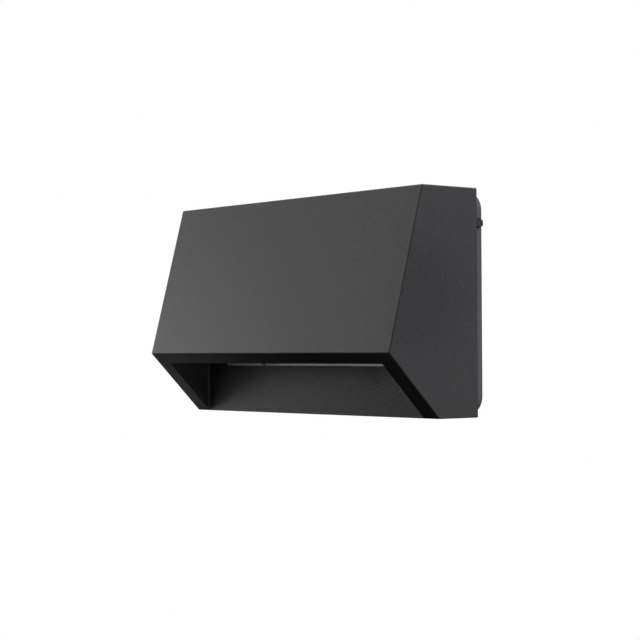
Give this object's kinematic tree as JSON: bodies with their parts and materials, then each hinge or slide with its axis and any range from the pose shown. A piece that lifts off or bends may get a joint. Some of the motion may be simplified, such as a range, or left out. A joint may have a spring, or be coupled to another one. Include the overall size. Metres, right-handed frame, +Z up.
{
  "type": "step light",
  "caption": "Wall-mounted step light with a wedge-shaped die-cast hood whose slanted mouth throws light down, on a flat wall plate with lock screws at its edges.",
  "frame": {"origin": "middle of the face that lies on the wall", "axes": "+X to the right as seen from the room, +Y into the wall, +Z up"},
  "size_m": [0.125, 0.0402, 0.07],
  "materials": {
    "powder_coat": "die-cast, with a fine-textured black powder coat",
    "plate_coat": "die-cast, with a grey satin coat",
    "black_steel": "blackened",
    "steel": "zinc plated",
    "foam": "closed-cell foam",
    "silicone": "matt silicone",
    "black_rubber": "moulded",
    "board_mask": "white solder mask",
    "chip_phosphor": "phosphor",
    "thermal_silicone": "matt",
    "white_plastic": "satin",
    "frosted_glass": "frosted",
    "case_plastic": "moulded",
    "potting_resin": "cast resin",
    "terminal_plastic": "moulded",
    "brass": "turned",
    "tinned_copper": "tinned",
    "brown_sleeve": "extruded",
    "blue_sleeve": "extruded",
    "green_sleeve": "extruded, yellow stripe",
    "red_sleeve": "extruded",
    "black_sleeve": "extruded"
  },
  "bodies": {
    "wall_plate": {"wall_plate": "plate_coat", "wall_gasket": "foam", "hood_seal": "silicone", "cable_grommet": "black_rubber"},
    "lock_screw_left": {"lock_screw_left": "black_steel"},
    "lock_screw_right": {"lock_screw_right": "black_steel"},
    "lamp_head": {"hood": "powder_coat", "led_board": "board_mask", "led_chips": "chip_phosphor", "thermal_pad": "thermal_silicone", "board_screws": "steel", "reflector": "white_plastic", "diffuser": "frosted_glass", "diffuser_gasket": "silicone", "diffuser_screws": "black_steel", "driver_case": "case_plastic", "driver_potting": "potting_resin", "driver_screws": "steel", "terminal_block": "terminal_plastic", "terminal_clamps": "brass", "terminal_screws": "steel", "terminal_fixing_screw": "steel", "live_lead": "brown_sleeve", "neutral_lead": "blue_sleeve", "earth_lead": "green_sleeve", "earth_lug": "tinned_copper", "earth_screw": "brass", "led_lead_positive": "red_sleeve", "led_lead_negative": "black_sleeve", "lead_grommet": "black_rubber"}
  },
  "joints": [
    {"name": "lamp_head_pull", "type": "slide", "parent": "wall_plate", "child": "lamp_head", "axis": [0, -1, 0], "range_m": [0, 0.03]},
    {"name": "lock_screw_right_turn", "type": "hinge", "parent": "wall_plate", "child": "lock_screw_right", "pos_m": [0.0609, -0.0025, 0.0244], "axis": [1, 0, 0], "range_deg": [0, 1080]},
    {"name": "lock_screw_left_turn", "type": "hinge", "parent": "wall_plate", "child": "lock_screw_left", "pos_m": [-0.0609, -0.0025, 0.0244], "axis": [-1, 0, 0], "range_deg": [0, 1080]}
  ]
}
